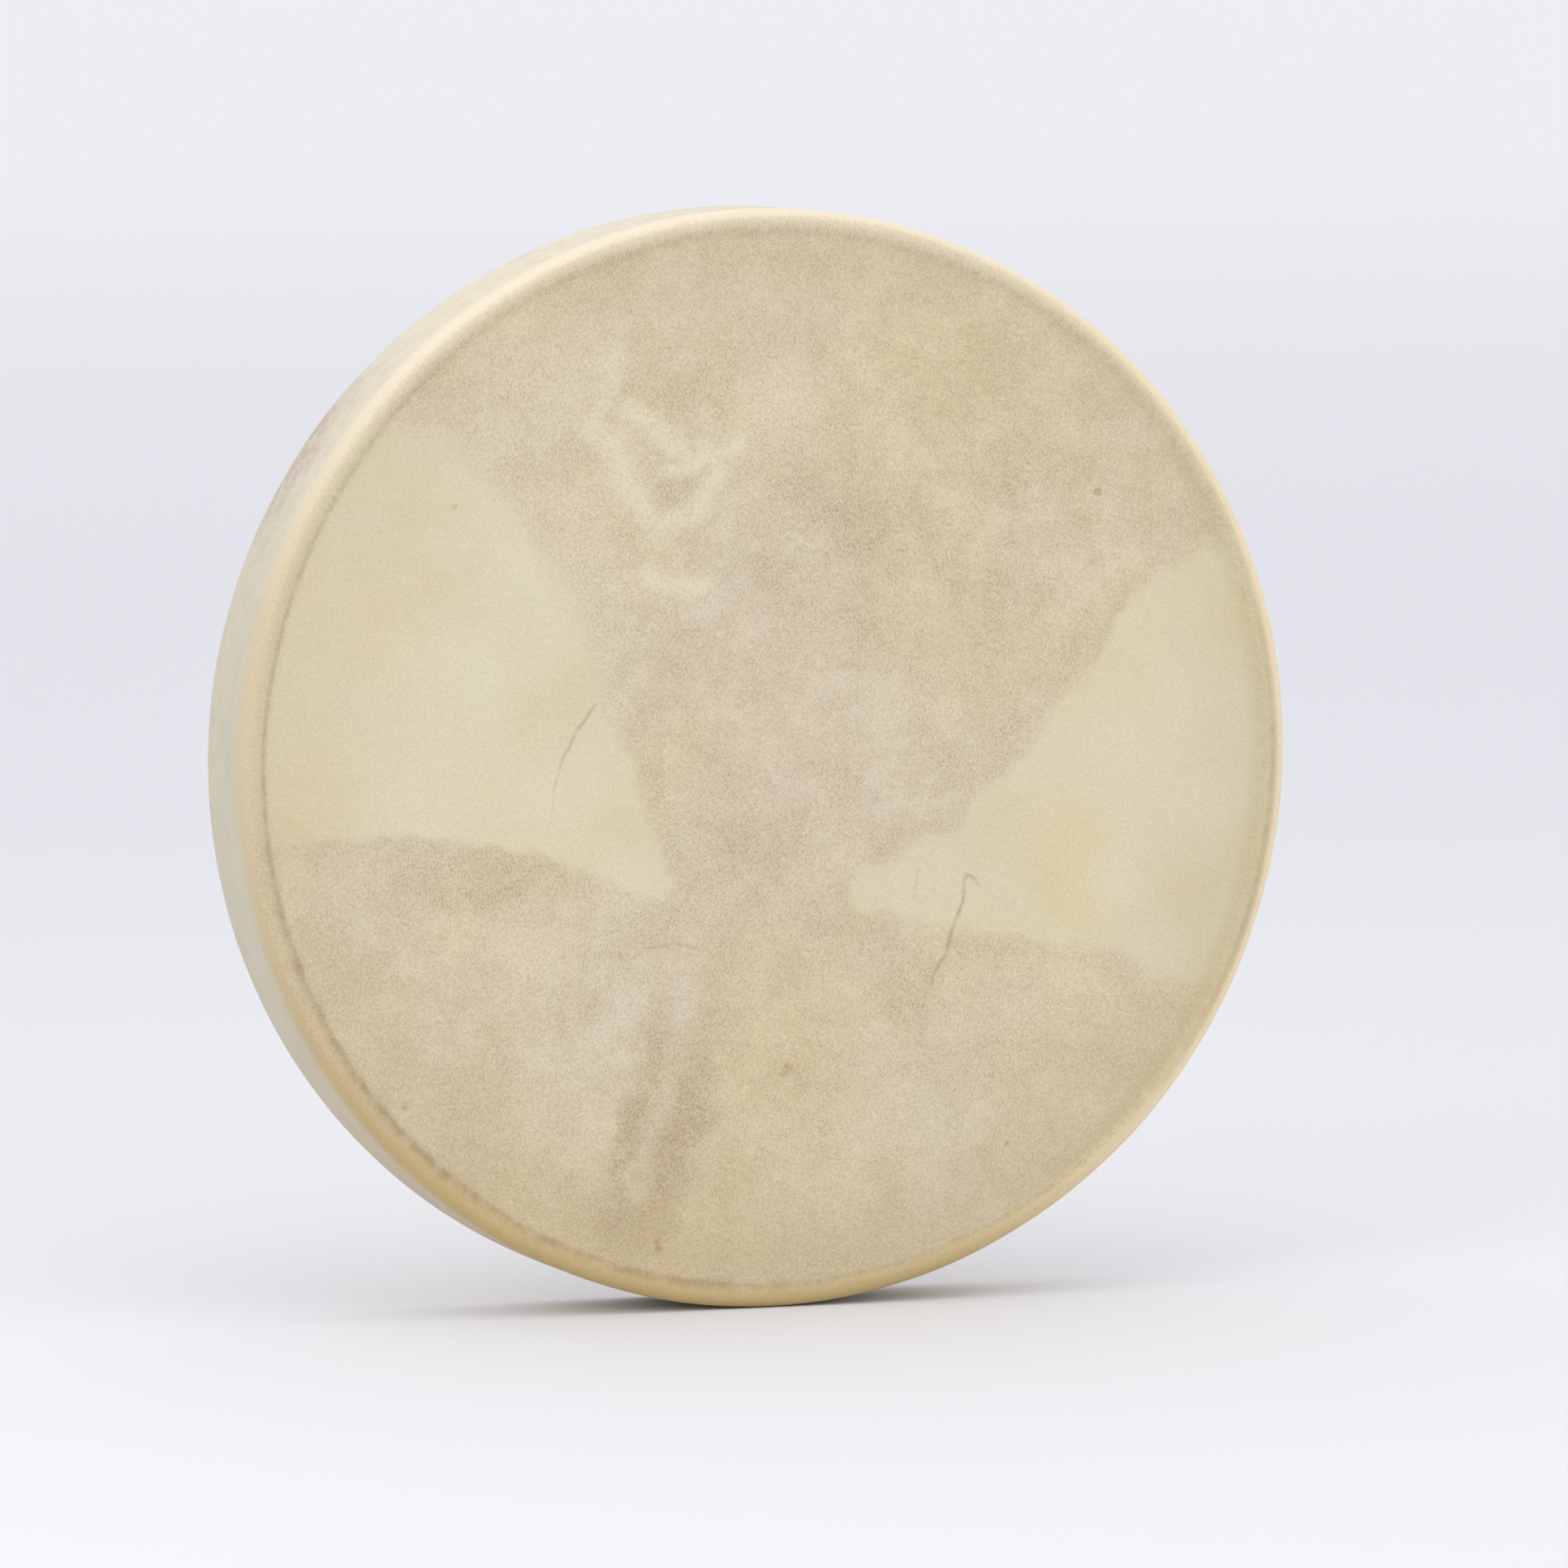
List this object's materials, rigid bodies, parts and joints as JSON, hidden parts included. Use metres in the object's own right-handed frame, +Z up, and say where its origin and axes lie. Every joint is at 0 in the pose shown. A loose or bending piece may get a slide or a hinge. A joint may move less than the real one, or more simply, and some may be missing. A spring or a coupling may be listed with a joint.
{
  "type": "frame drum",
  "caption": "Round single-headed frame drum: a rawhide head drawn over a bent wood hoop and laced across the back to a central grip ring.",
  "frame": {"origin": "middle of the drum's box in X and Y, on the floor that its rim stands on", "axes": "+Z up across the drum, -Y out of the playing face, +Y out of the laced back along the drum's own axis"},
  "size_m": [0.3996, 0.0475, 0.3995],
  "materials": {
    "rawhide": "stiff dried rawhide, satin, mottled cream and tan",
    "lace_rawhide": "dried rawhide strip, satin, half translucent",
    "bent_ash": "sanded and oiled, satin",
    "copper": "dull copper",
    "steel": "plain welded ring",
    "brown_leather": "soft brown leather, matt"
  },
  "bodies": {
    "root": {"rawhide_head": "rawhide", "hoop_outer_ply": "bent_ash", "hoop_inner_ply": "bent_ash", "hoop_tack_1": "copper", "hoop_tack_2": "copper", "hoop_tack_3": "copper", "hoop_tack_4": "copper", "hoop_tack_5": "copper", "hoop_tack_6": "copper", "hoop_tack_7": "copper", "hoop_tack_8": "copper", "handle_ring": "steel", "ring_sleeve": "brown_leather", "grip_binding_1": "brown_leather", "grip_binding_2": "brown_leather", "grip_binding_3": "brown_leather", "grip_binding_4": "brown_leather", "lace_1": "lace_rawhide", "lace_2": "lace_rawhide", "lace_3": "lace_rawhide", "lace_4": "lace_rawhide"}
  },
  "joints": []
}
